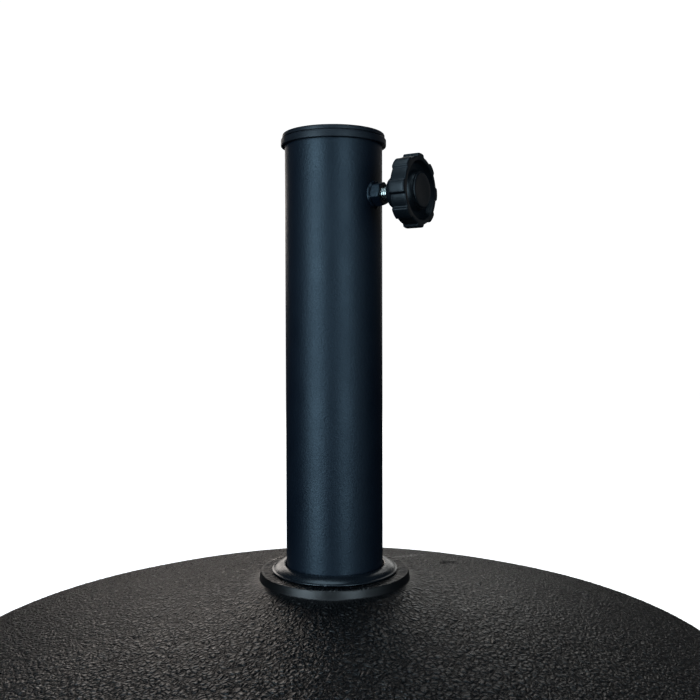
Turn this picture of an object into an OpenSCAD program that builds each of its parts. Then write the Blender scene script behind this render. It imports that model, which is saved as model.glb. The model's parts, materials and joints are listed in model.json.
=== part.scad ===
// Parasol base: a concrete-filled round foot with a clamped steel socket for the pole.
// Origin: centre of the footprint, on the floor. +Z is up, along the pole. Sizes in millimetres.

/* [Base] */
// Diameter of the foot
base_d = 500; // [460:5:540]
// Height of the foot's upright edge above the shell's lower edge
edge_h = 31; // [24:1:40]
// Radius of the rounding between the edge and the crown
edge_round = 6; // [4:1:8]
// Rise of the crown from the top of the edge rounding to the boss
crown_rise = 47; // [40:1:55]
// How far the crown bulges above a straight cone
crown_bulge = 4; // [2:0.5:6]
// Wall of the plastic shell
shell_t = 2.5; // [2:0.5:4]
// Radius of the raised boss round the tube
boss_r = 46.8; // [43:0.1:52]
// Height of the boss above the crown
boss_h = 5.3; // [4:0.1:6]

/* [Feet] */
// How far the rubber feet hold the foot off the floor
foot_gap = 3; // [2:0.5:5]
// Radius of one rubber foot
foot_r = 16; // [12:1:20]
// Radius of the circle that the feet stand on
foot_ring_r = 205; // [180:1:215]
// Number of rubber feet
foot_count = 4; // [3:1:6]

/* [Tube] */
// Outer diameter of the socket tube
tube_d = 60; // [58:1:62]
// Wall of the socket tube
tube_t = 1.5; // [1.2:0.1:2]
// Height of the tube's upper end above the foot of the boss
tube_top = 269.6; // [230:0.1:300]
// Depth of the tube's pocket below the top of the boss
pocket_depth = 53; // [47:1:56]

/* [Trim collar] */
// Outer radius of the collar's lip
collar_r = 39.1; // [37:0.1:41]
// Height of the collar above the boss
collar_h = 3.9; // [3.5:0.1:6]
// Wall of the collar
collar_t = 1.2; // [1:0.1:1.4]
// Gap between the collar and the tube
collar_gap = 0.8; // [0.3:0.1:1.2]

/* [Pole fittings] */
// Bore of the end ring, for a 48 mm pole
wide_bore_d = 49.5; // [49:0.1:50]
// Bore of the reducer, for a 38 mm pole
narrow_bore_d = 39.2; // [38.5:0.1:40]
// Length of both sleeves below the tube's upper end
sleeve_len = 22; // [16:1:24]
// Outer radius of the end ring's skirt
ring_r = 32.4; // [32:0.1:33]
// Outer radius of the reducer's flange
flange_r = 31.5; // [31:0.1:32]

/* [Clamp] */
// Height of the clamp screw above the foot of the boss
clamp_z = 235.4; // [225:0.1:237]
// Direction of the clamp screw round the tube, from +X
clamp_azimuth = -33.2; // [-180:0.1:180]
// Thread diameter of the clamp screw
stud_d = 8; // [8:0.1:8.1]
// Length of the threaded stud in front of the knob
stud_len = 18; // [16:0.5:18.5]
// Radius of the knob over its lobes
knob_r = 21.6; // [20:0.1:23]
// Thickness of the knob's lobed rim
knob_rim_t = 10; // [8:0.5:12]
// Number of lobes
lobe_count = 8; // [6:1:10]
// Depth of the valleys between the lobes
lobe_depth = 1.7; // [1:0.1:2.5]
// Share of the pitch between lobes that a lobe's flat top takes
lobe_flat = 0.38; // [0.3:0.01:0.42]
// Share of the pitch between lobes that a lobe takes at its foot
lobe_foot = 0.54; // [0.48:0.01:0.6]
// Depth of the ring-shaped recess in the knob's face
recess_depth = 3.5; // [2:0.5:4.5]

/* [Hidden] */
$fn = 96;

// gaps
slip = 0.05;          // radial gap of parts that are pressed, cast or screwed together
loose = 0.25;         // radial gap of parts that slide over each other
thread_gap = 0.05;    // radial gap between the stud and the clamp nut
end_gap = 0.1;        // gap between the stud's end and the pressure pad

// heights above the floor
edge_z = foot_gap + edge_h;
boss_z = edge_z + crown_rise;
boss_top = boss_z + boss_h;
tube_end = boss_z + tube_top;
pocket_z = boss_top - pocket_depth;
tube_r = tube_d / 2;
tube_in = tube_r - tube_t;
pocket_gap = 0.4;     // radial gap of the tube in the shell and the concrete
pocket_r = tube_r + pocket_gap;
foot_h = 2 * foot_gap;

// crown: a circular arc from the edge rounding up to the boss
edge_r = base_d / 2;
chord_r = edge_r - edge_round - boss_r;
crown_steps = 16;
edge_steps = 6;

// points of the crown's arc from the boss outwards, lowered by drop
function crown(drop, r_in, r_out) = [
  for (i = [0 : crown_steps])
    let (s = i / crown_steps)
    [
      r_in + (r_out - r_in) * s,
      boss_z - drop - crown_rise * s + 4 * crown_bulge * s * (1 - s)
    ]
];

// slope of the crown where it meets the edge rounding
crown_end_tilt = atan((crown_rise + 4 * crown_bulge) / chord_r);

// quarter-round from the crown down to the upright edge
function edge_arc(r_mid, z_mid, radius) = [
  for (i = [1 : edge_steps])
    let (a = (90 - crown_end_tilt) * (1 - i / edge_steps))
    [r_mid + radius * cos(a), z_mid + radius * sin(a)]
];

// bolt and nut sizes
m8_flats = 13;
bolt_play = 1;        // how much wider a bolt's plain hole is than the bolt
m10_d = 10;
m10_flats = 17;
m10_head_h = 6.4;
m10_nut_h = 8.4;
washer_r = 20;
washer_t = 2.5;
lock_r = 9;
lock_t = 2.4;
lock_slit = 1.5;
thread_out = 1;       // how far the bolt stands out of the foot nut
plate_t = 4;
well_r = 23;
floor_t = 15;         // concrete left under the pocket
well_top = pocket_z - floor_t;

// clamp, measured along the screw's axis from the tube's centre line
nut_turn = 78;        // turn of the nut's flats round the screw
clear_through = 5;    // how far a cutter reaches past the wall it cuts
nut_face = tube_r + 6;
hub_back = 42;
knob_back = 50.6;
knob_front = knob_back + knob_rim_t;
stud_tip = hub_back - stud_len;
pad_t = 4;
pad_r = 4.4;
dog_r = 2.5;
dog_out = 1.6;        // how far the dog point stands out of the stud
hub_r = 9;
hub_flare_r = 12;
head_h = 5.3;
face_r = 0.48 * knob_r;
shoulder_r = 0.55 * knob_r;
recess_r = 0.79 * knob_r;
cap_rise = 1.2;

// regular hexagonal prism across its flats
module hex_prism(flats, h) {
  cylinder(d = flats / cos(30), h = h, $fn = 6);
}

// places children with +Z along the clamp screw, pointing away from the tube
module on_clamp_axis(distance = 0) {
  translate([0, 0, boss_z + clamp_z])
    rotate([0, 0, clamp_azimuth])
      rotate([0, 90, 0])
        translate([0, 0, distance])
          children();
}

// outline of the knob: flat-topped lobes with wide shallow valleys, one lobe at angle zero
module lobed_outline(radius) {
  half_pitch = 180 / lobe_count;
  polygon([
    for (i = [0 : lobe_count - 1], share = [-lobe_flat, 0, lobe_flat, lobe_foot, 1, 2 - lobe_foot])
      let (
        a = half_pitch * (2 * i + share),
        r = share > lobe_flat ? radius - lobe_depth : radius
      )
      [r * cos(a), r * sin(a)]
  ]);
}

// plastic cover: crown, rounded edge and central boss in one moulding
module base_shell() {
  bevel_in = 1.2;
  bevel_down = 0.9;
  draft = 0.3;
  outside = concat(
    [[pocket_r, boss_top], [boss_r - bevel_in, boss_top], [boss_r - draft, boss_top - bevel_down]],
    crown(0, boss_r, edge_r - edge_round),
    edge_arc(edge_r - edge_round, edge_z - edge_round, edge_round),
    [[edge_r, foot_gap]]
  );
  inside = concat(
    [[edge_r - shell_t, foot_gap], [edge_r - shell_t, edge_z - edge_round]],
    [for (i = [crown_steps : -1 : 0])
      crown(shell_t, boss_r - shell_t, edge_r - edge_round)[i]],
    [[boss_r - shell_t, boss_top - shell_t], [pocket_r, boss_top - shell_t]]
  );
  color([0.09, 0.085, 0.08])
    rotate_extrude()
      polygon(concat(outside, inside));
}

// concrete weight with the tube's pocket, the bolt's well and seats for the feet
module concrete_core() {
  outline = concat(
    [[0, boss_top - shell_t], [boss_r - shell_t, boss_top - shell_t]],
    crown(shell_t, boss_r - shell_t, edge_r - edge_round),
    [[edge_r - shell_t, edge_z - edge_round], [edge_r - shell_t, foot_gap], [0, foot_gap]]
  );
  color([0.62, 0.61, 0.58])
    difference() {
      rotate_extrude()
        polygon(outline);
      translate([0, 0, pocket_z])
        cylinder(r = pocket_r, h = boss_top);
      translate([0, 0, -1])
        cylinder(r = well_r, h = well_top + 1);
      cylinder(d = m10_d + 2 * bolt_play, h = boss_top);
      at_feet()
        translate([0, 0, -1])
          cylinder(r = foot_r + slip, h = foot_h + 1);
    }
}

// places children at each rubber foot
module at_feet() {
  for (i = [0 : foot_count - 1])
    rotate([0, 0, 45 + 360 * i / foot_count])
      translate([foot_ring_r, 0, 0])
        children();
}

// rubber feet, set half into the concrete
module rubber_feet() {
  chamfer = 1;
  color([0.05, 0.05, 0.05])
    at_feet()
      rotate_extrude()
        polygon([
          [0, 0], [foot_r - chamfer, 0], [foot_r, chamfer], [foot_r, foot_h], [0, foot_h]
        ]);
}

// hexagon bolt from below, through the pocket's floor into the foot nut
module anchor_bolt() {
  head_top = well_top - washer_t - lock_t;
  color([0.7, 0.7, 0.72])
    union() {
      translate([0, 0, head_top - m10_head_h])
        hex_prism(m10_flats, m10_head_h);
      translate([0, 0, head_top])
        cylinder(d = m10_d, h = pocket_z + plate_t + m10_nut_h + thread_out - head_top);
    }
}

// large washer against the roof of the well
module anchor_washer() {
  color([0.7, 0.7, 0.72])
    translate([0, 0, well_top - washer_t])
      difference() {
        cylinder(r = washer_r, h = washer_t);
        translate([0, 0, -1])
          cylinder(d = m10_d + bolt_play, h = washer_t + 2);
      }
}

// split spring washer between the bolt's head and the large washer
module lock_washer() {
  color([0.55, 0.55, 0.57])
    translate([0, 0, well_top - washer_t - lock_t])
      difference() {
        cylinder(r = lock_r, h = lock_t);
        translate([0, 0, -1])
          cylinder(d = m10_d + bolt_play / 2, h = lock_t + 2);
        translate([0, -lock_slit / 2, -1])
          cube([2 * lock_r, lock_slit, lock_t + 2]);
      }
}

// steel disc in the tube's lower end
module foot_plate() {
  color([0.35, 0.36, 0.38])
    translate([0, 0, pocket_z])
      difference() {
        cylinder(r = tube_in - slip, h = plate_t);
        translate([0, 0, -1])
          cylinder(d = m10_d + bolt_play, h = plate_t + 2);
      }
}

// weld nut on the disc, which the bolt screws into
module foot_nut() {
  color([0.6, 0.6, 0.62])
    translate([0, 0, pocket_z + plate_t])
      difference() {
        hex_prism(m10_flats, m10_nut_h);
        translate([0, 0, -1])
          cylinder(d = m10_d + 2 * slip, h = m10_nut_h + 2);
      }
}

// fillet weld between the disc and the tube
module foot_weld() {
  leg = 3;
  color([0.3, 0.3, 0.32])
    translate([0, 0, pocket_z + plate_t])
      rotate_extrude()
        polygon([[tube_in - slip, 0], [tube_in - slip, leg], [tube_in - leg, 0]]);
}

// socket tube, with the hole for the clamp screw
module pole_tube() {
  color([0.035, 0.05, 0.08])
    difference() {
      translate([0, 0, pocket_z])
        cylinder(r = tube_r, h = tube_end - pocket_z);
      translate([0, 0, pocket_z - 1])
        cylinder(r = tube_in, h = tube_end - pocket_z + 2);
      on_clamp_axis(tube_in - clear_through)
        cylinder(d = stud_d + bolt_play, h = 2 * clear_through);
    }
}

// domed trim ring, hollow underneath, resting on the boss
module trim_collar() {
  inner_r = tube_r + collar_gap;
  bevel = 0.6;
  lip_h = 1.1;
  lip_edge = 0.4;
  fullness = 2.4;
  steps = 10;
  // height of the dome over the boss at a share s of the way out to the lip
  function dome(s) = lip_h + (collar_h - lip_h) * (1 - pow(s, fullness));
  dome_w = collar_r - inner_r - 2 * bevel;
  outer = [for (i = [0 : steps]) [inner_r + bevel + dome_w * i / steps, dome(i / steps)]];
  color([0.05, 0.055, 0.06])
    translate([0, 0, boss_top])
      rotate_extrude()
        polygon(concat(
          [[inner_r, collar_h - bevel]],
          outer,
          [[collar_r, lip_h - lip_edge], [collar_r, end_gap], [collar_r - collar_t, end_gap]],
          [for (i = [steps - 1 : -1 : 1]) [outer[i][0] - bevel / 2, outer[i][1] - collar_t]],
          [[inner_r, collar_h - collar_t - bevel]]
        ));
}

// plastic ring over the tube's upper end, with a sleeve inside the tube
module tube_end_ring() {
  skirt = 2.9;
  top_t = 1.2;
  edge = 0.5;
  lead_in = 2;
  lead_w = 0.75;
  color([0.04, 0.045, 0.055])
    translate([0, 0, tube_end])
      rotate_extrude()
        polygon([
          [tube_r + slip, 0], [tube_r + slip, -skirt], [ring_r - edge, -skirt], [ring_r, -skirt + edge],
          [ring_r, top_t - edge], [ring_r - edge, top_t], [wide_bore_d / 2, top_t],
          [wide_bore_d / 2, -sleeve_len], [tube_in - slip - lead_w, -sleeve_len],
          [tube_in - slip, -sleeve_len + lead_in], [tube_in - slip, 0]
        ]);
}

// sleeve that narrows the socket, with a rounded flange on the end ring
module pole_reducer() {
  rest_z = 1.25;
  neck_h = 0.7;
  flange_t = 2.6;
  round_r = 1.4;
  lead_in = 2;
  lead_w = 0.8;
  bevel = 1;
  steps = 5;
  sleeve_r = wide_bore_d / 2 - loose;
  bore_r = narrow_bore_d / 2;
  top_z = rest_z + neck_h + flange_t;
  low_z = 1 - sleeve_len;
  color([0.04, 0.045, 0.055])
    translate([0, 0, tube_end])
      rotate_extrude()
        polygon(concat(
          [
            [bore_r, low_z], [sleeve_r - lead_w, low_z], [sleeve_r, low_z + lead_in],
            [sleeve_r, rest_z], [flange_r - bevel, rest_z], [flange_r - bevel, rest_z + neck_h],
            [flange_r, rest_z + neck_h]
          ],
          [for (i = [0 : steps])
            let (a = 90 * i / steps)
            [flange_r - round_r + round_r * cos(a), top_z - round_r + round_r * sin(a)]],
          [[bore_r + bevel, top_z], [bore_r, top_z - bevel]]
        ));
}

// solid round of the tube near the clamp, for seating parts on it
module tube_blank() {
  translate([0, 0, boss_z + clamp_z])
    cylinder(r = tube_r + slip, h = 4 * m8_flats, center = true);
}

// hexagonal weld nut, seated on the round of the tube
module clamp_nut() {
  color([0.05, 0.055, 0.07])
    difference() {
      on_clamp_axis(tube_in)
        rotate([0, 0, nut_turn])
          hex_prism(m8_flats, nut_face - tube_in);
      on_clamp_axis()
        cylinder(d = stud_d + 2 * thread_gap, h = 2 * nut_face);
      tube_blank();
    }
}

// fillet of weld round the nut's foot
module clamp_nut_weld() {
  throat = 1.8;
  reach_in = 3;
  foot_w = 4.4;
  tip_w = 0.4;
  color([0.05, 0.055, 0.07])
    difference() {
      on_clamp_axis(tube_r - reach_in)
        cylinder(r1 = m8_flats / 2 + foot_w, r2 = m8_flats / 2 + tip_w, h = reach_in + throat);
      on_clamp_axis(tube_r - reach_in - 1)
        rotate([0, 0, nut_turn])
          hex_prism(m8_flats + 2 * slip, nut_face);
      tube_blank();
    }
}

// threaded stud with its head held in the knob and a plain dog point at the tip
module clamp_stud() {
  color([0.72, 0.76, 0.74])
    union() {
      on_clamp_axis(stud_tip)
        cylinder(d = stud_d, h = knob_back - stud_tip);
      on_clamp_axis(knob_back)
        rotate([0, 0, 90])
          hex_prism(m8_flats, head_h);
      on_clamp_axis(stud_tip - dog_out)
        cylinder(r = dog_r, h = dog_out + 1);
    }
}

// plastic tip that presses on the pole while the stud turns in it
module pressure_pad() {
  bevel = 0.8;
  color([0.85, 0.84, 0.8])
    on_clamp_axis(stud_tip - pad_t)
      difference() {
        union() {
          translate([0, 0, bevel])
            cylinder(r = pad_r, h = pad_t - bevel - end_gap);
          cylinder(r1 = pad_r - bevel, r2 = pad_r, h = bevel);
        }
        translate([0, 0, pad_t - dog_out - end_gap])
          cylinder(r = dog_r + slip, h = pad_t);
      }
}

// knob: flared hub, lobed rim and a round recess in its face
module knob_body() {
  bevel = 0.9;
  color([0.03, 0.03, 0.035])
    difference() {
      union() {
        on_clamp_axis(hub_back)
          cylinder(r1 = hub_r, r2 = hub_flare_r, h = knob_back - hub_back + 1);
        on_clamp_axis(knob_back)
          rotate([0, 0, 180]) {
            linear_extrude(knob_rim_t)
              lobed_outline(knob_r - bevel);
            translate([0, 0, bevel])
              linear_extrude(knob_rim_t - 2 * bevel)
                lobed_outline(knob_r);
          }
      }
      on_clamp_axis(knob_front - recess_depth)
        difference() {
          cylinder(r = recess_r, h = recess_depth + 1);
          cylinder(r1 = shoulder_r + loose, r2 = face_r + loose, h = recess_depth + 1);
        }
      on_clamp_axis(knob_back)
        rotate([0, 0, 90])
          hex_prism(m8_flats + 2 * slip, knob_rim_t + 1);
      on_clamp_axis(hub_back - 1)
        cylinder(d = stud_d + 2 * slip, h = knob_back - hub_back + 2);
    }
}

// round cover over the stud's head in the middle of the knob
module knob_cap() {
  color([0.03, 0.03, 0.035])
    union() {
      on_clamp_axis(knob_back + head_h)
        rotate([0, 0, 90])
          hex_prism(m8_flats, knob_rim_t - head_h);
      on_clamp_axis(knob_front)
        cylinder(r1 = face_r, r2 = face_r - cap_rise, h = cap_rise);
    }
}

base_shell();
concrete_core();
rubber_feet();
anchor_bolt();
anchor_washer();
lock_washer();
foot_plate();
foot_nut();
foot_weld();
pole_tube();
trim_collar();
tube_end_ring();
pole_reducer();
clamp_nut();
clamp_nut_weld();
clamp_stud();
pressure_pad();
knob_body();
knob_cap();
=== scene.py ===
"""Looks of a parasol base: shell, tube, collar, rings, clamp and underside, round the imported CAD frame."""
import json
import math
import random

import bpy
import numpy as np
from mathutils import Matrix, Vector


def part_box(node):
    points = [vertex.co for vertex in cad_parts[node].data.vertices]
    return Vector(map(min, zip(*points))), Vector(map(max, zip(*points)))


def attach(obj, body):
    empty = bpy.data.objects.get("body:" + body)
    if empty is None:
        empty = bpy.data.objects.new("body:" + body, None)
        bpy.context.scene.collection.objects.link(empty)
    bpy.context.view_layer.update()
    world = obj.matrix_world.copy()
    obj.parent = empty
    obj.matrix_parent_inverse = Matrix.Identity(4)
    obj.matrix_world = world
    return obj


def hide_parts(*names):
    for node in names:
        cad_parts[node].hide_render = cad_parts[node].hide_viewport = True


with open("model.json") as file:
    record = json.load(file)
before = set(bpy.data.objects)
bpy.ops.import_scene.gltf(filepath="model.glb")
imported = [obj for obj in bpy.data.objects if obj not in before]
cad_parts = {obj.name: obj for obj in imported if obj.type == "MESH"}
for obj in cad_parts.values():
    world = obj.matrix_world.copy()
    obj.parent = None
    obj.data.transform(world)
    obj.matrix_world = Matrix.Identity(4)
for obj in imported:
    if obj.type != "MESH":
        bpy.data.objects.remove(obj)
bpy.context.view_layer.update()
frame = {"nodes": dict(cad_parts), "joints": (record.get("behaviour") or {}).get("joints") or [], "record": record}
MM = 0.001
TAU = 2 * math.pi


# ---------------------------------------------------------------- sizes, from the frame

def top(node):
    """Highest point of a CAD node."""
    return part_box(node)[1].z


def bottom(node):
    """Lowest point of a CAD node."""
    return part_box(node)[0].z


def joint(name):
    """A joint's entry in the frame."""
    return next(j for j in frame["joints"] if j["name"] == name)


BASE_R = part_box("base_shell")[1].x
SHELL_LOW = bottom("base_shell")
BOSS_TOP = top("base_shell")
TUBE_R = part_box("pole_tube")[1].x
TUBE_LOW = bottom("pole_tube")
TUBE_TOP = top("pole_tube")
COLLAR_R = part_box("trim_collar")[1].x
RING_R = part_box("tube_end_ring")[1].x
FLANGE_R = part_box("pole_reducer")[1].x
BORE_R = next(m for m in frame["record"]["mounts"] if m["name"] == "pole_bore")["dims"]["r_mm"] * MM

# the shell's crown, as in the CAD
BOSS_H = 5.3 * MM
CROWN_RISE = 47 * MM
CROWN_BULGE = 4 * MM
BOSS_R = 46.8 * MM
EDGE_H = 31 * MM
EDGE_ROUND = 6 * MM
CROWN_TOP = BOSS_TOP - BOSS_H

# the tube's wall and the end ring's bore, as in the CAD
TUBE_WALL = 1.5 * MM
WIDE_BORE_R = 24.75 * MM

# the clamp: the screw's axis, places along it from the tube's centre line, and its sizes
CLAMP_AXIS = Vector(joint("knob_turn")["axis"]).normalized()
CLAMP_Z = joint("knob_turn")["pos_m"][2]
NUT_FACE = 36 * MM
HUB_BACK = 42 * MM
KNOB_BACK = 50.6 * MM
KNOB_T = 10 * MM
KNOB_R = 21.6 * MM
STUD_R = 4 * MM
STUD_TIP = 24 * MM
STUD_PITCH = 1.25 * MM
NUT_FLATS = 13 * MM
NUT_TURN = math.radians(12)
LOBES = 8
LOBE_DEPTH = 1.7 * MM
LOBE_FLAT, LOBE_FOOT = 0.38, 0.54
LOBE_CROWN = 0.18 * MM
CAP_R = 0.48 * KNOB_R

# radius of the tiny circle that closes the end of a turned mesh
CLOSED_R = 0.01 * MM


# ---------------------------------------------------------------- mesh helpers

def add_object(name, data):
    """A new object in the scene."""
    made = bpy.data.objects.new(name, data)
    bpy.context.scene.collection.objects.link(made)
    return made


def new_piece(name, vertices, faces, body, node, smooth_angle=40):
    """A mesh object that rides on a body, stands for a CAD node and has its sharp edges marked."""
    mesh = bpy.data.meshes.new(name)
    mesh.from_pydata([tuple(v) for v in vertices], [], faces)
    mesh.validate()
    mesh.update()
    piece = add_object(name, mesh)
    mesh.shade_smooth()
    mesh.set_sharp_from_angle(angle=math.radians(smooth_angle))
    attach(piece, body)
    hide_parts(node)
    return piece


def apply_modifiers(piece):
    """Makes the piece's modifiers part of its mesh."""
    graph = bpy.context.evaluated_depsgraph_get()
    shaped = bpy.data.meshes.new_from_object(piece.evaluated_get(graph))
    piece.modifiers.clear()
    old = piece.data
    piece.data = shaped
    bpy.data.meshes.remove(old)


def rounded(corners, steps=5):
    """A closed outline of (r, z, radius) corners with each corner rounded to its radius."""
    points = []
    count = len(corners)
    for i, (r, z, radius) in enumerate(corners):
        here = Vector((r, z))
        before = Vector(corners[i - 1][:2]) - here
        after = Vector(corners[(i + 1) % count][:2]) - here
        if radius <= 0 or before.length < 1e-9 or after.length < 1e-9:
            points.append(here)
            continue
        half = before.angle(after) / 2
        cut = min(radius / math.tan(half), before.length * 0.49, after.length * 0.49)
        start = here + before.normalized() * cut
        end = here + after.normalized() * cut
        for k in range(steps + 1):
            t = k / steps
            points.append(start.lerp(here, t).lerp(here.lerp(end, t), t))
    return points


def circle(r, z, segments):
    """Points of a level circle round Z, or round the clamp screw before on_clamp_axis moves them."""
    return [(r * math.cos(TAU * k / segments), r * math.sin(TAU * k / segments), z) for k in range(segments)]


def ring_faces(rings, segments, closed):
    """Quads between stacked rings of the same number of points."""
    faces = []
    last = rings if closed else rings - 1
    for i in range(last):
        a = i * segments
        b = ((i + 1) % rings) * segments
        for k in range(segments):
            n = (k + 1) % segments
            faces.append((a + k, a + n, b + n, b + k))
    return faces


def lathe(name, outline, body, node, segments=192, smooth_angle=40):
    """A closed outline of (r, z) points, anticlockwise with r to the right, turned about Z."""
    vertices = [p for r, z in outline for p in circle(r, z, segments)]
    faces = ring_faces(len(outline), segments, closed=True)
    return new_piece(name, vertices, faces, body, node, smooth_angle)


def on_clamp_axis(points):
    """Moves points from (x, y, distance along the screw) to the clamp screw's place. Local x is up."""
    up = Vector((0, 0, 1))
    side = CLAMP_AXIS.cross(up)
    origin = Vector((0, 0, CLAMP_Z))
    return [origin + up * p[0] + side * p[1] + CLAMP_AXIS * p[2] for p in points]


# ---------------------------------------------------------------- node helpers, for materials and geometry

class Nodes:
    """Short calls that add nodes to a shader tree or a geometry tree."""

    def __init__(self, tree):
        self.tree = tree

    def add(self, kind, inputs=None, **settings):
        node = self.tree.nodes.new(kind)
        for key, value in settings.items():
            setattr(node, key, value)
        for key, value in (inputs or {}).items():
            if isinstance(value, bpy.types.NodeSocket):
                self.tree.links.new(value, node.inputs[key])
            else:
                node.inputs[key].default_value = value
        return node

    def math(self, operation, a, b=0.0):
        return self.add("ShaderNodeMath", {0: a, 1: b}, operation=operation).outputs[0]

    def vector(self, operation, a, b=(0, 0, 0), out=0):
        return self.add("ShaderNodeVectorMath", {0: a, 1: b}, operation=operation).outputs[out]

    def scaled(self, a, factor):
        return self.add("ShaderNodeVectorMath", {0: a, "Scale": factor}, operation="SCALE").outputs[0]

    def remap(self, value, low, high, to_low=0.0, to_high=1.0):
        """Eases from to_low to to_high while the value goes from low to high."""
        inputs = {"Value": value, "From Min": low, "From Max": high, "To Min": to_low, "To Max": to_high}
        return self.add("ShaderNodeMapRange", inputs, interpolation_type="SMOOTHSTEP").outputs["Result"]

    def noise(self, place, scale, detail=2.0, rough=0.5, out="Fac"):
        inputs = {"Vector": place, "Scale": scale, "Detail": detail, "Roughness": rough}
        return self.add("ShaderNodeTexNoise", inputs).outputs[out]

    def voronoi(self, place, scale, feature="F1"):
        inputs = {"Vector": place, "Scale": scale, "Randomness": 1.0}
        return self.add("ShaderNodeTexVoronoi", inputs, feature=feature).outputs["Distance"]


# leather grain of the shell: pebbles with creases between them, drawn out radially near the boss;
# its height is counted from GRAIN_TOP, so that it only presses into the shell
PEBBLE_SCALE = 330.0
GRAIN_STRETCH = 14 * MM
GRAIN_REACH = 20 * MM
GRAIN_BEND = 5.5 * MM
GRAIN_TOP = 1.1
GRAIN_DEPTH = 0.34 * MM


def grain_place(n, place):
    """The grain's own coordinates: bent a little, and squeezed along the radius near the boss."""
    parts = n.add("ShaderNodeSeparateXYZ", {0: place})
    flat = n.add("ShaderNodeCombineXYZ", {0: parts.outputs[0], 1: parts.outputs[1], 2: 0.0}).outputs[0]
    radius = n.vector("LENGTH", flat, out=1)
    away = n.math("DIVIDE", n.math("SUBTRACT", BOSS_R, radius), GRAIN_REACH)
    push = n.math("MULTIPLY", n.math("EXPONENT", n.math("MINIMUM", away, 0.3)), GRAIN_STRETCH)
    factor = n.math("ADD", n.math("DIVIDE", push, n.math("MAXIMUM", radius, 0.02)), 1.0)
    upright = n.add("ShaderNodeCombineXYZ", {2: parts.outputs[2]}).outputs[0]
    drawn = n.vector("ADD", n.scaled(flat, factor), upright)
    bend = n.vector("SUBTRACT", n.noise(drawn, 150.0, out="Color"), (0.5, 0.5, 0.5))
    return n.vector("ADD", drawn, n.scaled(bend, GRAIN_BEND))


def grain_height(n, place):
    """Height of the grain from 0 in a crease to about 1 on a pebble."""
    bent = grain_place(n, place)
    edge = n.voronoi(bent, PEBBLE_SCALE, "DISTANCE_TO_EDGE")
    pebble = n.remap(edge, 0.0, 0.34)
    small = n.remap(n.voronoi(bent, PEBBLE_SCALE * 2.3, "DISTANCE_TO_EDGE"), 0.0, 0.4)
    swell = n.noise(bent, PEBBLE_SCALE * 0.8)
    mixed = n.math("ADD", n.math("MULTIPLY", pebble, 0.62), n.math("MULTIPLY", small, 0.2))
    return n.math("ADD", mixed, n.math("MULTIPLY", swell, 0.35))


# ---------------------------------------------------------------- materials

def material(name, color, roughness, metallic=0.0, ior=1.5):
    """A new material with one Principled shader: itself, its node helper, shader and position socket."""
    made = bpy.data.materials.new(name)
    made.use_nodes = True
    n = Nodes(made.node_tree)
    shader = made.node_tree.nodes["Principled BSDF"]
    shader.inputs["Base Color"].default_value = (*color, 1.0)
    shader.inputs["Roughness"].default_value = roughness
    shader.inputs["Metallic"].default_value = metallic
    shader.inputs["IOR"].default_value = ior
    place = n.add("ShaderNodeTexCoord").outputs["Object"]
    return made, n, shader, place


def blend_color(n, share, first, second):
    """From the first colour to the second as share goes from 0 to 1. A colour is a triple or a socket."""
    first, second = (c if isinstance(c, bpy.types.NodeSocket) else (*c, 1.0) for c in (first, second))
    mix = n.add("ShaderNodeMix", {"A": first, "B": second, "Factor": share}, data_type="RGBA")
    return mix.outputs["Result"]


def drive(n, shader, socket, value):
    """Lets a node's output set one of the shader's sockets."""
    n.tree.links.new(value, shader.inputs[socket])


def bump(n, shader, height, distance, strength):
    node = n.add("ShaderNodeBump", {"Height": height, "Distance": distance, "Strength": strength})
    drive(n, shader, "Normal", node.outputs["Normal"])


def grained_plastic():
    """Black vacuum-formed plastic: leather grain, smooth where it was drawn thin round the boss, dusty; painted
    shade darkens the creases' colour and weakens their reflections.
    """
    made, n, shader, place = material("grained_plastic", (0.004, 0.005, 0.006), 0.4)
    mask = n.add("ShaderNodeAttribute", attribute_name="grain").outputs["Fac"]
    height = grain_height(n, place)
    fine = n.noise(place, 2200.0, detail=3.0)
    together = n.math("ADD", n.math("MULTIPLY", height, mask), n.math("MULTIPLY", fine, 0.06))
    bump(n, shader, together, distance=1.3 * MM, strength=1.0)
    # painted shade: reflections are weakened in the creases, standing in for the shade that falls in them
    crease = n.math("MULTIPLY", n.remap(height, 0.38, 0.78, 1.0, 0.0), mask)
    drive(n, shader, "Specular IOR Level", n.math("SUBTRACT", 0.5, n.math("MULTIPLY", crease, 0.37)))
    patches = n.noise(place, 14.0, detail=4.0, rough=0.6)
    tops = n.math("MULTIPLY", n.remap(height, 0.35, 0.95), mask)
    # painted shade: the colour is darker in the creases and lighter on the pebble tops; the patches are random
    # tone of the plastic
    share = n.math("ADD", n.math("MULTIPLY", tops, 0.55), n.math("MULTIPLY", patches, 0.45))
    crease_shade_tone = blend_color(n, share, (0.0008, 0.001, 0.0014), (0.0045, 0.0052, 0.0062))
    scuff = n.add("ShaderNodeAttribute", attribute_name="scuff").outputs["Fac"]
    scraped = n.math("MULTIPLY", scuff, n.remap(height, 0.3, 0.8, 0.15, 0.8))
    drive(n, shader, "Base Color", blend_color(n, scraped, crease_shade_tone, (0.5, 0.47, 0.44)))
    wear = n.math("MULTIPLY", n.remap(patches, 0.3, 0.7), 0.1)
    grained = n.math("SUBTRACT", 0.38, n.math("MULTIPLY", mask, 0.06))
    rough = n.math("ADD", n.math("SUBTRACT", grained, n.math("MULTIPLY", tops, 0.1)), wear)
    drive(n, shader, "Roughness", rough)
    return made


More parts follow.
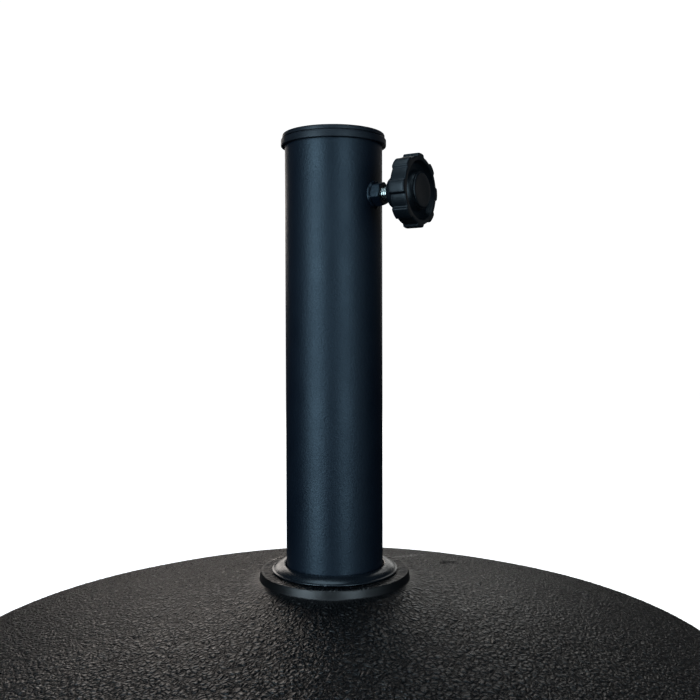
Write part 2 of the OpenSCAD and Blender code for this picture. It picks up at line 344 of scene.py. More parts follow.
def powder_coat():
    """Dark blue-black powder coating with a fine orange-peel texture."""
    made, n, shader, place = material("powder_coat", (0.006, 0.013, 0.026), 0.42)
    shader.inputs["Specular Tint"].default_value = (0.62, 0.84, 1.0, 1.0)
    peel = n.noise(place, 620.0)
    specks = n.voronoi(place, 1300.0, "SMOOTH_F1")
    height = n.math("ADD", n.math("MULTIPLY", peel, 0.7), n.math("MULTIPLY", specks, 0.3))
    bump(n, shader, height, distance=0.18 * MM, strength=0.8)
    clouds = n.noise(place, 22.0, detail=4.0, rough=0.6)
    drive(n, shader, "Base Color", blend_color(n, clouds, (0.0008, 0.0025, 0.007), (0.0016, 0.0045, 0.011)))
    rough = n.math("ADD", n.remap(clouds, 0.3, 0.7, 0.41, 0.49), n.math("MULTIPLY", specks, 0.06))
    drive(n, shader, "Roughness", rough)
    return made


def satin_plastic(name, dark, light, rough_low, rough_high, texture=0.05 * MM, sheen=0.76):
    """Moulded plastic: fine texture, faint flow clouds, hairline scuffs. Sheen below 1 dims reflections."""
    made, n, shader, place = material(name, dark, rough_low)
    shader.inputs["Specular Tint"].default_value = (0.8 * sheen, 0.92 * sheen, sheen, 1.0)
    fine = n.noise(place, 2600.0)
    bump(n, shader, fine, distance=texture, strength=0.5)
    clouds = n.noise(place, 55.0, detail=4.0, rough=0.65)
    slanted = {"Vector": place, "Scale": (1.0, 1.0, 7.0), "Rotation": (0.4, 0.9, 0.2)}
    stretched = n.add("ShaderNodeMapping", slanted).outputs[0]
    scuffs = n.remap(n.noise(stretched, 260.0, detail=5.0, rough=0.75), 0.62, 0.72)
    share = n.math("ADD", n.math("MULTIPLY", clouds, 0.7), n.math("MULTIPLY", scuffs, 0.3))
    drive(n, shader, "Base Color", blend_color(n, share, dark, light))
    base = n.remap(clouds, 0.3, 0.7, rough_low, rough_high)
    drive(n, shader, "Roughness", n.math("ADD", base, n.math("MULTIPLY", scuffs, 0.08)))
    return made


def zinc_plate():
    """Bright blue-passivated zinc on steel, dulled in patches."""
    made, n, shader, place = material("zinc_plate", (0.66, 0.72, 0.71), 0.26, metallic=1.0)
    clouds = n.noise(place, 320.0, detail=4.0, rough=0.6)
    fine = n.noise(place, 4200.0)
    bump(n, shader, fine, distance=0.02 * MM, strength=0.5)
    drive(n, shader, "Base Color", blend_color(n, clouds, (0.50, 0.56, 0.55), (0.80, 0.86, 0.84)))
    drive(n, shader, "Roughness", n.remap(clouds, 0.3, 0.7, 0.2, 0.36))
    return made


def bare_steel():
    """Unpainted mild steel with grey mill scale and a trace of rust."""
    made, n, shader, place = material("bare_steel", (0.2, 0.2, 0.21), 0.5, metallic=0.9)
    clouds = n.noise(place, 120.0, detail=5.0, rough=0.65)
    rust = n.remap(n.noise(place, 45.0, detail=5.0, rough=0.7), 0.56, 0.7)
    bump(n, shader, clouds, distance=0.1 * MM, strength=0.5)
    steel = blend_color(n, clouds, (0.13, 0.13, 0.14), (0.3, 0.3, 0.31))
    rusty = blend_color(n, n.math("MULTIPLY", rust, 0.5), steel, (0.16, 0.07, 0.03))
    drive(n, shader, "Base Color", rusty)
    drive(n, shader, "Roughness", n.remap(clouds, 0.3, 0.7, 0.4, 0.62))
    return made


def cast_concrete():
    """Grey concrete: fine sand, air holes with painted shade in them, and damp clouds."""
    made, n, shader, place = material("cast_concrete", (0.4, 0.39, 0.37), 0.9, ior=1.45)
    clouds = n.noise(place, 16.0, detail=5.0, rough=0.6)
    sand = n.noise(place, 800.0, detail=4.0, rough=0.7)
    holes = n.remap(n.voronoi(place, 110.0), 0.06, 0.2)
    height = n.math("ADD", n.math("MULTIPLY", sand, 0.3), holes)
    bump(n, shader, height, distance=0.8 * MM, strength=0.8)
    tone = n.math("ADD", n.math("MULTIPLY", clouds, 0.7), n.math("MULTIPLY", sand, 0.3))
    plain = blend_color(n, tone, (0.28, 0.27, 0.25), (0.52, 0.51, 0.48))
    # painted shade: the air holes are coloured dark for the shade inside them
    drive(n, shader, "Base Color", blend_color(n, holes, (0.14, 0.135, 0.13), plain))
    drive(n, shader, "Roughness", n.remap(sand, 0.3, 0.7, 0.8, 0.98))
    return made


def foot_rubber():
    """Matt black rubber with a fine bloom."""
    made, n, shader, place = material("foot_rubber", (0.02, 0.02, 0.02), 0.85, ior=1.45)
    bloom = n.noise(place, 90.0, detail=4.0, rough=0.6)
    bump(n, shader, n.noise(place, 1500.0, detail=3.0), distance=0.08 * MM, strength=0.6)
    drive(n, shader, "Base Color", blend_color(n, bloom, (0.014, 0.014, 0.014), (0.04, 0.04, 0.038)))
    drive(n, shader, "Roughness", n.remap(bloom, 0.3, 0.7, 0.75, 0.92))
    return made


MATERIALS = {
    "shell": grained_plastic(),
    "coat": powder_coat(),
    "collar": satin_plastic("collar_plastic", (0.003, 0.005, 0.008), (0.008, 0.011, 0.015), 0.24, 0.31,
                            texture=0.03 * MM, sheen=1.0),
    "ring": satin_plastic("ring_plastic", (0.003, 0.005, 0.009), (0.008, 0.011, 0.016), 0.42, 0.5),
    "knob": satin_plastic("knob_plastic", (0.002, 0.004, 0.006), (0.006, 0.008, 0.011), 0.34, 0.46,
                          texture=0.07 * MM),
    "pad": satin_plastic("pad_nylon", (0.55, 0.53, 0.48), (0.7, 0.68, 0.63), 0.4, 0.5),
    "zinc": zinc_plate(),
    "steel": bare_steel(),
    "concrete": cast_concrete(),
    "rubber": foot_rubber(),
}


def dress(piece, key):
    """Gives a piece or a CAD node one of the materials."""
    piece.data.materials.clear()
    piece.data.materials.append(MATERIALS[key])
    return piece


# ---------------------------------------------------------------- shell

def crown_z(r):
    """Height of the crown at a radius, as in the CAD."""
    s = (r - BOSS_R) / (BASE_R - EDGE_ROUND - BOSS_R)
    return CROWN_TOP - CROWN_RISE * s + 4 * CROWN_BULGE * s * (1 - s)


def shell_outline():
    """The shell's section as (r, z, spacing, grain) from the tube hole, over the outside and back inside."""
    crown_out = BASE_R - EDGE_ROUND
    tilt = math.atan((CROWN_RISE + 4 * CROWN_BULGE) / (crown_out - BOSS_R))
    pitch, boss_pitch, roll_pitch = 1.55 * MM, 1.3 * MM, 1.1 * MM
    hole_r = TUBE_R + 0.4 * MM
    path = [(hole_r, BOSS_TOP - 0.6 * MM, pitch, 0.0), (hole_r + 0.5 * MM, BOSS_TOP, pitch, 0.0)]
    for r in np.arange(hole_r + 1.9 * MM, BOSS_R - 1.6 * MM, boss_pitch):
        path.append((r, BOSS_TOP, boss_pitch, 1.0))
    # rolled upper edge, plain side and concave foot of the boss
    roll, roll_r, roll_steps = 0.8 * MM, BOSS_R - 1.4 * MM, 5
    for k in range(roll_steps + 1):
        a = math.pi / 2 * (1 - k / roll_steps)
        path.append((roll_r + roll * math.cos(a), BOSS_TOP - roll + roll * math.sin(a),
                     roll_pitch, 0.5 * (1 - k / roll_steps)))
    foot, foot_steps, foot_grain = 0.6 * MM, 4, 0.25
    foot_z = CROWN_TOP + foot
    path.append((BOSS_R - 0.3 * MM, (BOSS_TOP + foot_z) / 2, roll_pitch, 0.0))
    for k in range(foot_steps + 1):
        a = math.pi + math.pi / 2 * k / foot_steps
        path.append((BOSS_R + foot + foot * math.cos(a), foot_z + foot * math.sin(a),
                     roll_pitch, foot_grain * k / foot_steps))
    # crown, where the grain comes up over a few rings
    steps = round((crown_out - BOSS_R - foot) / pitch)
    for k in range(1, steps + 1):
        r = BOSS_R + foot + (crown_out - BOSS_R - foot) * k / steps
        path.append((r, crown_z(r), pitch, min(1.0, foot_grain + 0.15 * k)))
    # rounding, upright edge and lip
    mid_z = SHELL_LOW + EDGE_H - EDGE_ROUND
    round_steps = 6
    for k in range(1, round_steps + 1):
        a = (math.pi / 2 - tilt) * (1 - k / round_steps)
        path.append((crown_out + EDGE_ROUND * math.cos(a), mid_z + EDGE_ROUND * math.sin(a), pitch, 1.0))
    rows, lip, lip_steps = 12, 0.8 * MM, 3
    for k in range(1, rows):
        z = mid_z + (SHELL_LOW + lip - mid_z) * k / rows
        path.append((BASE_R, z, 2 * MM, 1.0 if k < rows - 1 else 0.4))
    for k in range(lip_steps + 1):
        a = -math.pi / 2 * k / lip_steps
        path.append((BASE_R - lip + lip * math.cos(a), SHELL_LOW + lip + lip * math.sin(a), 4 * MM, 0.0))
    # inside
    wall, middle = 2.4 * MM, 0.5 * BASE_R
    for r, z, spacing in (
            (BASE_R - wall, SHELL_LOW, 6 * MM), (BASE_R - wall, mid_z, 12 * MM),
            (crown_out - 1 * MM, crown_z(crown_out) - wall, 12 * MM),
            (middle, crown_z(middle) - wall, 12 * MM),
            (BOSS_R - wall, CROWN_TOP - wall, 8 * MM), (BOSS_R - wall, BOSS_TOP - wall, 8 * MM),
            (hole_r, BOSS_TOP - wall, 3 * MM)):
        path.append((r, z, spacing, 0.0))
    return path


def zip_rings(a_start, a_count, b_start, b_count):
    """Triangles between two rings that have different numbers of points."""
    faces = []
    i = j = 0
    while i < a_count or j < b_count:
        if j >= b_count or (i < a_count and (i + 1) / a_count <= (j + 1) / b_count):
            faces.append((a_start + i % a_count, a_start + (i + 1) % a_count, b_start + j % b_count))
            i += 1
        else:
            faces.append((a_start + i % a_count, b_start + (j + 1) % b_count, b_start + j % b_count))
            j += 1
    return faces


def raise_grain(piece, height):
    """Presses the grain into the mesh with geometry nodes, where the grain attribute is set."""
    tree = bpy.data.node_groups.new("raise_grain", "GeometryNodeTree")
    tree.interface.new_socket("Geometry", in_out="INPUT", socket_type="NodeSocketGeometry")
    tree.interface.new_socket("Geometry", in_out="OUTPUT", socket_type="NodeSocketGeometry")
    n = Nodes(tree)
    start = n.add("NodeGroupInput")
    end = n.add("NodeGroupOutput")
    place = n.add("GeometryNodeInputPosition").outputs[0]
    normal = n.add("GeometryNodeInputNormal").outputs[0]
    attribute = n.add("GeometryNodeInputNamedAttribute", {"Name": "grain"}, data_type="FLOAT")
    mask = attribute.outputs["Attribute"]
    lift = n.math("MULTIPLY", n.math("SUBTRACT", grain_height(n, place), GRAIN_TOP), height)
    offset = n.scaled(normal, n.math("MULTIPLY", lift, mask))
    moved = n.add("GeometryNodeSetPosition", {"Geometry": start.outputs[0], "Offset": offset})
    tree.links.new(moved.outputs[0], end.inputs[0])
    piece.modifiers.new("grain", "NODES").node_group = tree
    apply_modifiers(piece)


# marks of use on the crown behind the tube, as lines of (x, y): a raised burr and a pale scuff
BURR = ((76 * MM, 61 * MM), (85 * MM, 70 * MM))
BURR_H, BURR_REACH = 2.0 * MM, 4.0 * MM
SCUFF = ((43 * MM, 62 * MM), (52 * MM, 73 * MM), (57 * MM, 86 * MM), (64 * MM, 96 * MM))
SCUFF_REACH = 4.5 * MM


def nearness(place, line, reach):
    """1 on a line of (x, y) points, falling smoothly to 0 at a reach from it."""
    here = Vector(place)
    nearest = reach
    for a, b in zip(line, line[1:]):
        start, step = Vector(a), Vector(b) - Vector(a)
        along = min(1.0, max(0.0, (here - start).dot(step) / step.length_squared))
        nearest = min(nearest, (here - start - along * step).length)
    return (1 - nearest / reach) ** 2 * (1 + 2 * nearest / reach)


def set_attribute(piece, name, values):
    """Stores a number for each point of a piece, for its material and its grain."""
    attribute = piece.data.attributes.new(name, "FLOAT", "POINT")
    attribute.data.foreach_set("value", np.array(values, np.float32))


def make_shell():
    """Shell with rings of evenly spaced points, each ring turned a little so that no seam lines up."""
    path = shell_outline()
    fewest, ring_turn = 96, 0.37
    vertices, grain, scuff, starts, counts = [], [], [], [], []
    for ring, (r, z, spacing, share) in enumerate(path):
        count = max(fewest, round(TAU * r / spacing))
        turn = ring_turn * ring
        starts.append(len(vertices))
        counts.append(count)
        for k in range(count):
            a = TAU * k / count + turn * TAU / count
            x, y = r * math.cos(a), r * math.sin(a)
            burr = nearness((x, y), BURR, BURR_REACH) if share else 0.0
            vertices.append((x, y, z + BURR_H * burr))
            grain.append(share * (1 - burr))
            scuff.append(nearness((x, y), SCUFF, SCUFF_REACH) if share else 0.0)
    faces = []
    for i in range(len(path)):
        j = (i + 1) % len(path)
        faces.extend(zip_rings(starts[i], counts[i], starts[j], counts[j]))
    faces = [f[::-1] for f in faces]
    piece = new_piece("shell_skin", vertices, faces, "base", "base_shell", 50)
    set_attribute(piece, "grain", grain)
    set_attribute(piece, "scuff", scuff)
    raise_grain(piece, GRAIN_DEPTH)
    return dress(piece, "shell")


# ---------------------------------------------------------------- tube, collar and rings

def make_tube():
    """Rolled steel tube with the clamp screw's hole cut through its wall."""
    inner = TUBE_R - TUBE_WALL
    lip = 0.4 * MM
    outline = [Vector((inner, TUBE_LOW + lip)), Vector((inner + lip, TUBE_LOW))]
    outline += [Vector((TUBE_R - lip, TUBE_LOW)), Vector((TUBE_R, TUBE_LOW + lip))]
    rows = 40
    for k in range(1, rows):
        outline.append(Vector((TUBE_R, TUBE_LOW + (TUBE_TOP - TUBE_LOW) * k / rows)))
    outline += [Vector((TUBE_R, TUBE_TOP - lip)), Vector((TUBE_R - lip, TUBE_TOP))]
    outline += [Vector((inner + lip, TUBE_TOP)), Vector((inner, TUBE_TOP - lip))]
    for k in range(1, rows):
        outline.append(Vector((inner, TUBE_TOP - (TUBE_TOP - TUBE_LOW) * k / rows)))
    piece = lathe("tube_skin", outline, "base", "pole_tube", 240, 30)
    cut_hole(piece, STUD_R + 0.5 * MM)
    return dress(piece, "coat")


def cut_hole(piece, radius):
    """Cuts a round hole along the clamp screw's axis through the near wall."""
    sides = 48
    points = [p for depth in (TUBE_R - 6 * MM, TUBE_R + 4 * MM) for p in circle(radius, depth, sides)]
    faces = ring_faces(2, sides, closed=False)
    faces += [tuple(range(sides))[::-1], tuple(range(sides, 2 * sides))]
    mesh = bpy.data.meshes.new("cutter")
    mesh.from_pydata([tuple(p) for p in on_clamp_axis(points)], [], faces)
    mesh.update()
    cutter = add_object("cutter", mesh)
    modifier = piece.modifiers.new("hole", "BOOLEAN")
    modifier.object = cutter
    modifier.operation = "DIFFERENCE"
    modifier.solver = "EXACT"
    apply_modifiers(piece)
    bpy.data.objects.remove(cutter)
    bpy.data.meshes.remove(mesh)


def make_collar():
    """Pressed trim ring: crowned top, rolled lip with a small nick, hollow underneath."""
    low, high = BOSS_TOP + 0.1 * MM, top("trim_collar")
    inner = TUBE_R + 0.8 * MM
    lip_h, wall, bevel, ledge = 1.0 * MM, 1.1 * MM, 0.7 * MM, 0.15 * MM
    dome_low = low + lip_h + ledge
    steps, fullness = 18, 2.4
    dome = []
    for k in range(steps + 1):
        s = k / steps
        r = inner + bevel + (COLLAR_R - 1.0 * MM - inner - bevel) * s
        dome.append((r, dome_low + (high - low - lip_h - ledge) * (1 - s ** fullness)))
    outline = [Vector((inner, high - 0.75 * MM)), Vector((inner + 0.2 * MM, high - 0.2 * MM))]
    outline += [Vector(p) for p in dome]
    edge, edge_steps = lip_h / 2, 6
    for k in range(edge_steps + 1):
        a = math.pi / 2 * (1 - 2 * k / edge_steps)
        outline.append(Vector((COLLAR_R - edge + edge * math.cos(a), low + edge + edge * math.sin(a))))
    outline.append(Vector((COLLAR_R - wall, low)))
    for r, z in reversed(dome[1:-1]):
        outline.append(Vector((r - bevel / 2, z - wall)))
    outline.append(Vector((inner, high - 2.0 * MM)))
    piece = lathe("collar_trim", outline[::-1], "base", "trim_collar", 288, 35)
    nick_at, nick_r = Vector((-6.4 * MM, -COLLAR_R, low + lip_h)), 1.3 * MM
    push_in, push_down = 0.7 * MM, 0.3 * MM
    for v in piece.data.vertices:
        gap = (v.co - nick_at).length
        if gap < nick_r:
            share = 1 - gap / nick_r
            v.co.y += push_in * share
            v.co.z -= push_down * share
    return dress(piece, "collar")


def make_end_ring():
    """Lower ring: skirt over the tube, flat top and a plain sleeve inside."""
    z = TUBE_TOP
    skirt, crest = z - 2.9 * MM, z + 1.2 * MM
    low = bottom("tube_end_ring")
    slip = 0.05 * MM
    inner, outer = TUBE_R - TUBE_WALL - slip, TUBE_R + slip
    outline = rounded([
        (WIDE_BORE_R, low, 0.5 * MM), (inner - 0.75 * MM, low, 0.2 * MM), (inner, low + 2 * MM, 0),
        (inner, z, 0), (outer, z, 0), (outer, skirt, 0.2 * MM),
        (RING_R, skirt, 0.55 * MM), (RING_R, crest, 0.6 * MM), (WIDE_BORE_R, crest, 0.4 * MM)])
    return dress(lathe("end_ring", outline, "base", "tube_end_ring", 240), "ring")


def make_reducer():
    """Upper ring: rounded flange on a narrow neck, and the sleeve that takes the thin pole."""
    rest = TUBE_TOP + 1.25 * MM
    neck, neck_r = rest + 0.7 * MM, FLANGE_R - 1.0 * MM
    low, crest = bottom("pole_reducer"), top("pole_reducer")
    step_z = crest - 0.35 * MM
    sleeve = WIDE_BORE_R - 0.25 * MM
    outline = rounded([
        (BORE_R, low, 0), (sleeve - 0.8 * MM, low, 0.2 * MM), (sleeve, low + 2 * MM, 0), (sleeve, rest, 0),
        (neck_r, rest, 0), (neck_r, neck, 0), (FLANGE_R, neck, 0.3 * MM), (FLANGE_R, crest, 1.5 * MM),
        (BORE_R + 3.2 * MM, crest, 0.3 * MM), (BORE_R + 2.9 * MM, step_z, 0.2 * MM),
        (BORE_R + 1.1 * MM, step_z, 0.3 * MM), (BORE_R, crest - 1.2 * MM, 0.3 * MM)], 8)
    return dress(lathe("reducer_sleeve", outline, "reducer", "pole_reducer", 240), "ring")


# ---------------------------------------------------------------- clamp

def hex_radius(angle, flats):
    """Distance from the centre to the side of a hexagon at an angle. Corners at multiples of 60 degrees."""
    return flats / 2 / math.cos(angle % (math.pi / 3) - math.pi / 6)


def tube_surface(x, y, radius):
    """Distance along the clamp screw to the tube's surface at a place beside the axis."""
    return math.sqrt(max(radius * radius - y * y, 0.0))


def polar_piece(name, loops, body, node, key, smooth_angle, closed=True):
    """A mesh from loops of (x, y, distance along the screw) points about the clamp screw."""
    points = [p for loop in loops for p in loop[::-1]]
    faces = ring_faces(len(loops), len(loops[0]), closed)
    piece = new_piece(name, on_clamp_axis(points), faces, body, node, smooth_angle)
    return dress(piece, key)


def circles(section, segments):
    """A circle about the clamp screw for each (radius, distance along the screw)."""
    return [circle(r, depth, segments) for r, depth in section]


def make_nut():
    """Weld nut: chamfered hexagon, countersunk thread mouth, foot shaped to the tube."""
    segments = 144
    high = NUT_FACE
    chamfer_r, chamfer_slope = NUT_FLATS / 2 * 0.96, math.tan(math.radians(28))
    bore = STUD_R + 0.05 * MM

    def shoulder(x, y, r):
        return high - 0.1 * MM - max(0.0, r - chamfer_r) * chamfer_slope

    def lower(x, y, r):
        return shoulder(x, y, r) - 0.25 * MM

    def foot(x, y, r):
        return tube_surface(x, y, TUBE_R + 0.02 * MM)

    def hexagon(shrink, depth):
        loop = []
        for k in range(segments):
            a = TAU * k / segments
            r = hex_radius(a + NUT_TURN, NUT_FLATS) - shrink
            x, y = r * math.cos(a), r * math.sin(a)
            loop.append((x, y, depth(x, y, r)))
        return loop

    loops = [[(x, y, foot(x, y, bore)) for x, y, _ in circle(bore, 0, segments)]]
    loops += circles([
        (bore, high - 0.7 * MM), (bore + 0.6 * MM, high - 0.05 * MM), (bore + 0.75 * MM, high),
        (chamfer_r - 0.15 * MM, high), (chamfer_r, high - 0.04 * MM)], segments)
    loops += [hexagon(0.12 * MM, shoulder), hexagon(0, lower), hexagon(0, foot)]
    return polar_piece("weld_nut", loops, "base", "clamp_nut", "coat", 30)


def make_weld():
    """Hand-laid fillet round the nut's foot, coated with the tube."""
    segments, arc = 144, 9
    noise = random.Random(11)
    waves = [(noise.uniform(0.06, 0.2) * MM, noise.randint(2, 13), noise.uniform(0, TAU)) for _ in range(7)]
    spread, least_rise, corner_rise = 1.8 * MM, 1.2 * MM, 5 * MM
    loops = []
    for k in range(arc + 1):
        t = k / arc
        loop = []
        for i in range(segments):
            a = TAU * i / segments
            wobble = sum(h * math.sin(f * a + p) for h, f, p in waves) * 0.5
            inner = hex_radius(a + NUT_TURN, NUT_FLATS) - 0.3 * MM
            outer = NUT_FLATS / 2 + spread + wobble
            corner = (inner - NUT_FLATS / 2) / (NUT_FLATS / 2)
            rise = (least_rise + corner_rise * corner + wobble * 0.7) * math.cos(t * math.pi / 2) ** 0.8
            r = inner + (outer - inner) * math.sin(t * math.pi / 2) ** 0.9
            x, y = r * math.cos(a), r * math.sin(a)
            loop.append((x, y, tube_surface(x, y, TUBE_R) + max(rise, 0.0)))
        loops.append(loop)
    loops.append([(x, y, tube_surface(x, y, TUBE_R + 0.01 * MM)) for x, y, _ in loops[0]])
    return polar_piece("weld_bead", loops, "base", "clamp_nut_weld", "coat", 60)


def make_stud():
    """Threaded stud: a helical M8 ridge, a plain dog point and a chamfered start."""
    segments = 64
    minor, major = STUD_R - 0.68 * MM, STUD_R - 0.01 * MM
    crest_share, flank_share, run_out = 0.12, 0.74, 1.2 * MM
    dog_r, dog_out, dog_edge = 2.5 * MM, 1.5 * MM, 0.4 * MM
    start, end = STUD_TIP, HUB_BACK + 1 * MM
    rows = round((end - start) / (STUD_PITCH / 12))
    loops = circles([
        (CLOSED_R, start - dog_out), (dog_r - dog_edge, start - dog_out),
        (dog_r, start - dog_out + dog_edge), (dog_r, start)], segments)
    for row in range(rows + 1):
        depth = start + (end - start) * row / rows
        run_in = min(1.0, (depth - start) / run_out)
        loop = []
        for k in range(segments):
            a = TAU * k / segments
            phase = (depth / STUD_PITCH + k / segments) % 1.0
            flank = abs(2 * phase - 1)
            tooth = min(1.0, max(0.0, (flank - crest_share) / flank_share))
            r = minor + (major - minor) * tooth * run_in
            loop.append((r * math.cos(a), r * math.sin(a), depth))
        loops.append(loop)
    loops.append(circle(CLOSED_R, end, segments))
    return polar_piece("threaded_stud", loops, "knob", "clamp_stud", "zinc", 50, closed=False)


def lobe_radius(angle, inset):
    """Radius of the knob's outline, one lobe at angle zero, moved inwards by inset."""
    pitch = TAU / LOBES
    share = abs((angle + pitch / 2) % pitch - pitch / 2) / (pitch / 2)
    step = min(1.0, max(0.0, (share - LOBE_FLAT) / (LOBE_FOOT - LOBE_FLAT)))
    crown = LOBE_CROWN * (share / LOBE_FLAT) ** 2 if share < LOBE_FLAT else LOBE_CROWN
    return KNOB_R - inset - crown - (LOBE_DEPTH - LOBE_CROWN) * step * step * (3 - 2 * step)


def make_knob():
    """Lobed knob: hub, moulded back, rounded lobes, flat rim, recess and raised centre."""
    segments = 480
    back, front = KNOB_BACK, KNOB_BACK + KNOB_T
    shoulder, recess = 0.55 * KNOB_R, 0.79 * KNOB_R
    floor, seat = front - 3.5 * MM, front - 1 * MM
    bore = STUD_R + 0.05 * MM

    def lobed(inset, depth):
        loop = []
        for k in range(segments):
            a = TAU * k / segments
            r = lobe_radius(a, inset)
            loop.append((r * math.cos(a), r * math.sin(a), depth))
        return loop

    loops = circles([
        (bore, HUB_BACK + 3 * MM), (bore, HUB_BACK + 0.5 * MM), (STUD_R + 0.55 * MM, HUB_BACK),
        (8.5 * MM, HUB_BACK), (8.9 * MM, HUB_BACK + 0.15 * MM), (9.05 * MM, HUB_BACK + 0.6 * MM),
        (11.2 * MM, back - 1.1 * MM), (11.7 * MM, back - 0.4 * MM), (12.6 * MM, back), (13.2 * MM, back),
        (13.5 * MM, back + 0.6 * MM), (16.4 * MM, back + 0.6 * MM), (16.8 * MM, back + 0.05 * MM),
        (17.2 * MM, back)], segments)
    edge, back_steps, side_steps, front_steps = 0.8 * MM, 5, 4, 6
    for k in range(back_steps + 1):
        a = math.pi / 2 * k / back_steps
        loops.append(lobed(edge * (1 - math.sin(a)), back + edge * (1 - math.cos(a))))
    for k in range(1, side_steps):
        loops.append(lobed(0, back + edge + (KNOB_T - 2 * edge) * k / side_steps))
    for k in range(front_steps + 1):
        a = math.pi / 2 * k / front_steps
        loops.append(lobed(edge * (1 - math.cos(a)), front - edge + edge * math.sin(a)))
    loops += circles([
        (recess + 0.35 * MM, front), (recess + 0.1 * MM, front - 0.1 * MM), (recess, front - 0.35 * MM),
        (recess - 0.3 * MM, floor + 0.35 * MM), (recess - 0.65 * MM, floor), (shoulder + 0.5 * MM, floor),
        (shoulder + 0.1 * MM, floor + 0.2 * MM), (CAP_R + 0.35 * MM, front - 0.1 * MM),
        (CAP_R - 0.1 * MM, front), (CAP_R - 0.6 * MM, front),
        (CAP_R - 0.6 * MM, seat), (CLOSED_R, seat)], segments)
    return polar_piece("clamp_knob", loops, "knob", "knob_body", "knob", 42, closed=False)


def make_knob_cap():
    """Plain round cover in the middle of the knob, faintly dished."""
    segments = 128
    front = KNOB_BACK + KNOB_T
    rise, edge, edge_steps = 1.1 * MM, 0.8 * MM, 5
    dish, dish_share = 0.25 * MM, 0.85
    section = [(CLOSED_R, front - 0.9 * MM), (CAP_R - 0.7 * MM, front - 0.9 * MM),
               (CAP_R - 0.7 * MM, front + 0.02 * MM), (CAP_R - 0.15 * MM, front + 0.04 * MM)]
    for k in range(edge_steps + 1):
        a = math.pi / 2 * k / edge_steps
        section.append((CAP_R - 0.9 * MM + edge * math.cos(a), front + rise - edge + edge * math.sin(a)))
    for s in (0.75, 0.5, 0.25):
        section.append((CAP_R * s, front + rise - dish * (1 - (s / dish_share) ** 2)))
    section.append((CLOSED_R, front + rise - dish))
    loops = circles(section, segments)
    return polar_piece("knob_cover", loops, "knob", "knob_cap", "knob", 42, closed=False)


def make_pad():
    """Nylon tip that swivels on the dog point."""
    tip = STUD_TIP - 4 * MM
    r, socket_r, segments = 4.4 * MM, 2.58 * MM, 96
    loops = circles([
        (CLOSED_R, tip), (r - 1.1 * MM, tip), (r - 0.45 * MM, tip + 0.25 * MM),
        (r - 0.08 * MM, tip + 0.75 * MM), (r, tip + 1.1 * MM), (r, tip + 3.6 * MM),
        (r - 0.25 * MM, tip + 3.85 * MM), (2.75 * MM, tip + 3.85 * MM),
        (socket_r, tip + 3.65 * MM), (socket_r, tip + 2.35 * MM), (CLOSED_R, tip + 2.35 * MM)], segments)
    return polar_piece("pressure_tip", loops, "pad", "pressure_pad", "pad", 42, closed=False)


# ---------------------------------------------------------------- underside

def make_feet():
    """Ribbed rubber feet, one mesh."""
    low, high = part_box("rubber_feet")
    foot_r, foot_ring_r, foot_count = 16 * MM, 205 * MM, 4
    height, centre_r, groove = high.z - low.z, 0.02 * MM, 0.5 * MM
    profile = [(centre_r, groove), (3 * MM, groove), (3.4 * MM, 0.0), (6.4 * MM, 0.0), (6.8 * MM, groove),
               (8.2 * MM, groove), (8.6 * MM, 0.0), (11.6 * MM, 0.0), (12 * MM, groove), (13 * MM, groove),
               (13.4 * MM, 0.0), (foot_r - 1.2 * MM, 0.0), (foot_r - 0.4 * MM, 0.3 * MM),
               (foot_r, 1.1 * MM), (foot_r, height), (centre_r, height)]
    segments = 72
    vertices, faces = [], []
    for foot in range(foot_count):
        turn = math.radians(45 + 360 / foot_count * foot)
        centre_x, centre_y = foot_ring_r * math.cos(turn), foot_ring_r * math.sin(turn)
        start = len(vertices)
        for r, z in profile:
            vertices += [(centre_x + x, centre_y + y, z) for x, y, _ in circle(r, z, segments)]
        faces += [tuple(start + i for i in f) for f in ring_faces(len(profile), segments, closed=True)]
    return dress(new_piece("ribbed_feet", vertices, faces, "base", "rubber_feet", 35), "rubber")


# CAD nodes kept as they are: material key and slot
CARRIED = {
    "concrete_core": ("concrete", "concrete"),
    "anchor_bolt": ("zinc", "zinc_steel"),
    "anchor_washer": ("zinc", "zinc_steel"),
    "lock_washer": ("zinc", "zinc_steel"),
    "foot_plate": ("steel", "bare_steel"),
    "foot_nut": ("steel", "bare_steel"),
    "foot_weld": ("steel", "bare_steel"),
}


# ---------------------------------------------------------------- stage, light and camera

CAMERA_AWAY = 532.5 * MM
CAMERA_OVER_CROWN = 158.65 * MM
CAMERA_LENS = 44.117
PITCH, YAW, ROLL = math.radians(1.816), math.radians(1.061), math.radians(-0.135)


def make_stage():
    """Pale round floor that sweeps up into a wall. It throws no light on the part, so blacks stay deep."""
    flat, sweep, height = 2.5, 1.2, 5.0
    sides, steps = 96, 12
    profile = [(0.01, 0.0), (flat, 0.0)]
    for k in range(1, steps + 1):
        a = math.pi / 2 * k / steps
        profile.append((flat + sweep * math.sin(a), sweep * (1 - math.cos(a))))
    profile.append((flat + sweep, height))
    vertices = [p for r, z in profile for p in circle(r, z, sides)]
    mesh = bpy.data.meshes.new("studio_floor")
    mesh.from_pydata(vertices, [], ring_faces(len(profile), sides, closed=False))
    mesh.shade_smooth()
    floor = add_object("studio_floor", mesh)
    made = bpy.data.materials.new("paper_white")
    made.use_nodes = True
    shader = made.node_tree.nodes["Principled BSDF"]
    shader.inputs["Base Color"].default_value = (0.86, 0.86, 0.86, 1.0)
    shader.inputs["Roughness"].default_value = 0.9
    shader.inputs["Emission Color"].default_value = (1.0, 1.0, 1.0, 1.0)
    shader.inputs["Emission Strength"].default_value = 1.0
    mesh.materials.append(made)
    floor.visible_glossy = False
    floor.visible_diffuse = False


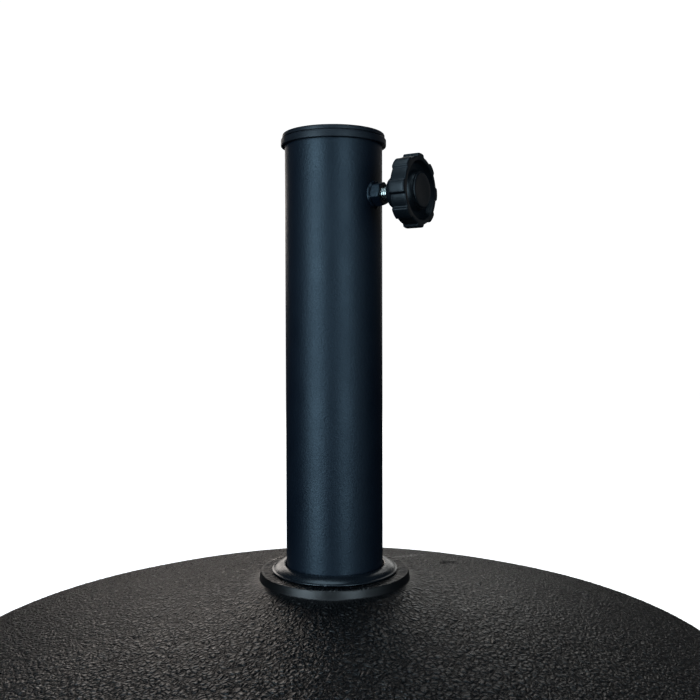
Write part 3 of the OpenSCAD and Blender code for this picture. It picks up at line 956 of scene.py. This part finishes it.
def area_light(name, place, target, width, height, power, color):
    """A rectangular light in metres and watts, turned towards its target."""
    data = bpy.data.lights.new(name, "AREA")
    data.shape = "RECTANGLE"
    data.size, data.size_y = width, height
    data.energy = power
    data.color = color
    light = add_object(name, data)
    light.location = place
    light.rotation_euler = (Vector(target) - Vector(place)).to_track_quat("-Z", "Y").to_euler()


def at(azimuth, away, height):
    """A place round the part: azimuth in degrees from the front, positive to the right."""
    turn = math.radians(azimuth)
    return (away * math.sin(turn), -away * math.cos(turn), height)


def make_light():
    """Cool softboxes from the front and above, warmer ones behind for the crown's far half, dim world."""
    middle, low_middle, crown = (0, 0, 0.25), (0, 0, 0.1), (0, 0, 0.05)
    cool, warm, plain = (0.7, 0.88, 1.0), (1.0, 0.91, 0.84), (1.0, 0.99, 0.95)
    area_light("key_left", at(-42, 1.3, 0.31), middle, 0.62, 1.1, 15.2, cool)
    area_light("fill_right", at(25, 1.4, 0.31), middle, 0.5, 1.1, 9.6, cool)
    area_light("side_right", at(60, 1.3, 0.25), middle, 0.6, 1.1, 0.9, cool)
    area_light("overhead", (-0.25, -0.2, 1.7), low_middle, 1.1, 0.8, 7.6, cool)
    area_light("front_high", at(-12, 1.1, 1.2), low_middle, 0.7, 0.35, 1.6, cool)
    area_light("back_left", at(-157, 1.6, 0.6), crown, 0.45, 0.5, 2.35, warm)
    area_light("back_middle", at(-172, 1.6, 0.6), crown, 0.42, 0.5, 1.45, warm)
    area_light("back_right", at(166, 1.6, 0.4), crown, 0.6, 0.4, 0.95, plain)
    area_light("back_high", at(165, 1.5, 1.15), crown, 0.9, 0.5, 1.7, plain)
    world = bpy.data.worlds.new("studio")
    bpy.context.scene.world = world
    world.use_nodes = True
    n = Nodes(world.node_tree)
    back = world.node_tree.nodes["Background"]
    way = n.add("ShaderNodeSeparateXYZ", {0: n.add("ShaderNodeTexCoord").outputs["Generated"]})
    behind = n.remap(way.outputs["Y"], 0.1, 0.8)
    band = n.math("SUBTRACT", n.remap(way.outputs["Z"], 0.0, 0.16), n.remap(way.outputs["Z"], 0.16, 0.5))
    tone = blend_color(n, n.math("MULTIPLY", behind, band), (0.006, 0.007, 0.009), (0.36, 0.35, 0.34))
    n.tree.links.new(tone, back.inputs["Color"])
    back.inputs["Strength"].default_value = 0.6


def make_camera():
    """Camera at the photograph's place, turned by pitch, yaw and roll."""
    data = bpy.data.cameras.new("camera")
    data.lens = CAMERA_LENS
    data.sensor_width = 36.0
    data.sensor_fit = "HORIZONTAL"
    camera = add_object("camera", data)
    ahead = Vector((math.sin(YAW) * math.cos(PITCH), math.cos(YAW) * math.cos(PITCH), -math.sin(PITCH)))
    right = Vector((math.cos(YAW), -math.sin(YAW), 0))
    up = right.cross(ahead)
    right, up = (math.cos(ROLL) * right + math.sin(ROLL) * up,
                 -math.sin(ROLL) * right + math.cos(ROLL) * up)
    turn = Matrix((right, up, -ahead)).transposed().to_4x4()
    camera.matrix_world = Matrix.Translation((0, -CAMERA_AWAY, CROWN_TOP + CAMERA_OVER_CROWN)) @ turn
    bpy.context.scene.camera = camera


# ---------------------------------------------------------------- the scene

make_camera()
make_stage()
make_light()
make_shell()
make_tube()
make_collar()
make_end_ring()
make_reducer()
make_nut()
make_weld()
make_stud()
make_knob()
make_knob_cap()
make_pad()
make_feet()
for node, (key, slot) in CARRIED.items():
    dress(frame["nodes"][node], key)
bpy.context.scene.view_settings.view_transform = "Standard"
